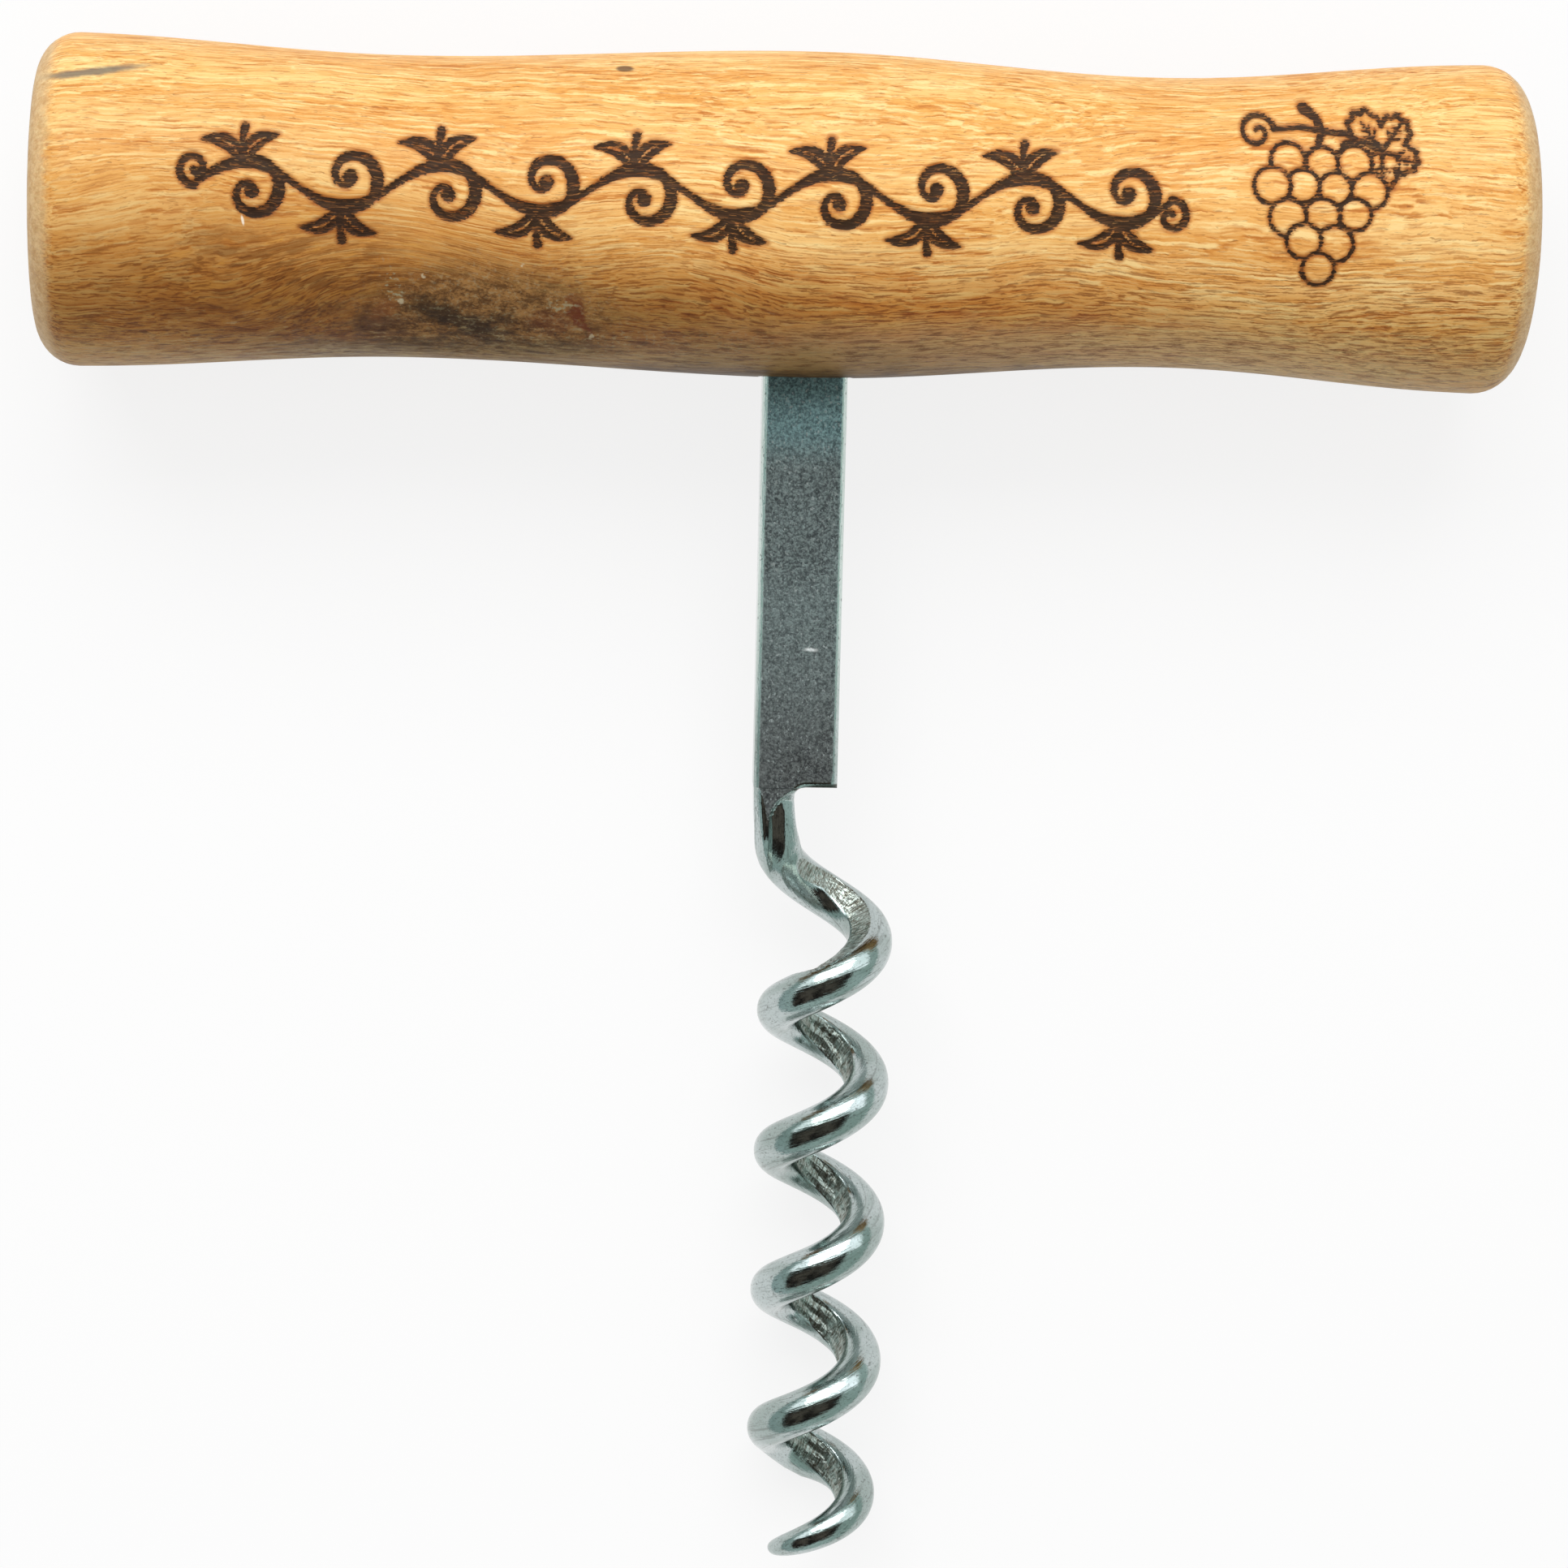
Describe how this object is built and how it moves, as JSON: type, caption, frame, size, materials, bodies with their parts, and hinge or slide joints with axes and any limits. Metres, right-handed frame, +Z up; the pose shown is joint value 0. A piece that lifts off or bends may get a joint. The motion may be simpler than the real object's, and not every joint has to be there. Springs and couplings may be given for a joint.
{
  "type": "wooden corkscrew",
  "caption": "Corkscrew with a turned, waisted wooden T-handle, a flat steel shank with a one-sided shoulder, and an open right-handed wire worm ground to a point.",
  "frame": {"origin": "middle of the part's footprint, on the surface that it lies on", "axes": "+X along the handle to the right, +Y from the worm's point to the handle, +Z up out of the handle's decorated side"},
  "size_m": [0.108, 0.1132, 0.024],
  "materials": {
    "wood": "oiled, worn satin",
    "steel": "plated, satin shank and polished worm"
  },
  "bodies": {
    "root": {"handle": "wood", "screw": "steel"}
  },
  "joints": []
}
